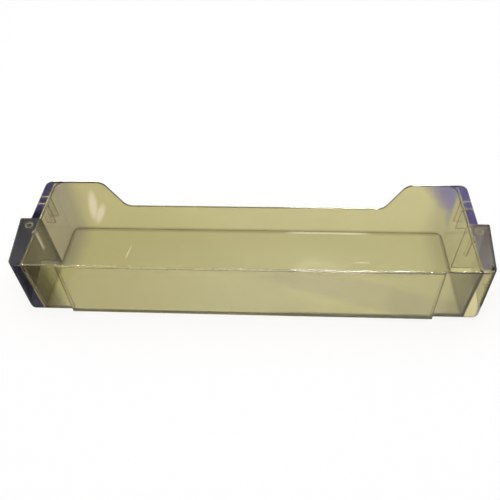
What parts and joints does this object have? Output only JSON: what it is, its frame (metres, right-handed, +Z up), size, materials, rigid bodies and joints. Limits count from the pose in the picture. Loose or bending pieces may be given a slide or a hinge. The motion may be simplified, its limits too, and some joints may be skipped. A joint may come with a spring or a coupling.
{
  "type": "fridge door shelf",
  "caption": "Clear moulded fridge door shelf: a long open tray with a low-middled back wall, a raised front panel, and side boxes and flanges that hang on the door's lugs.",
  "frame": {"origin": "centre of the flat bottom, midway between the two ends and between the front panel and the back wall", "axes": "+X along the shelf to its right end seen from the front, +Y to the back wall and the door, +Z up"},
  "size_m": [0.4894, 0.12, 0.0784],
  "materials": {
    "clear_plastic": "clear, lightly tinted, glossy"
  },
  "bodies": {
    "root": {"door_shelf": "clear_plastic"}
  },
  "joints": []
}
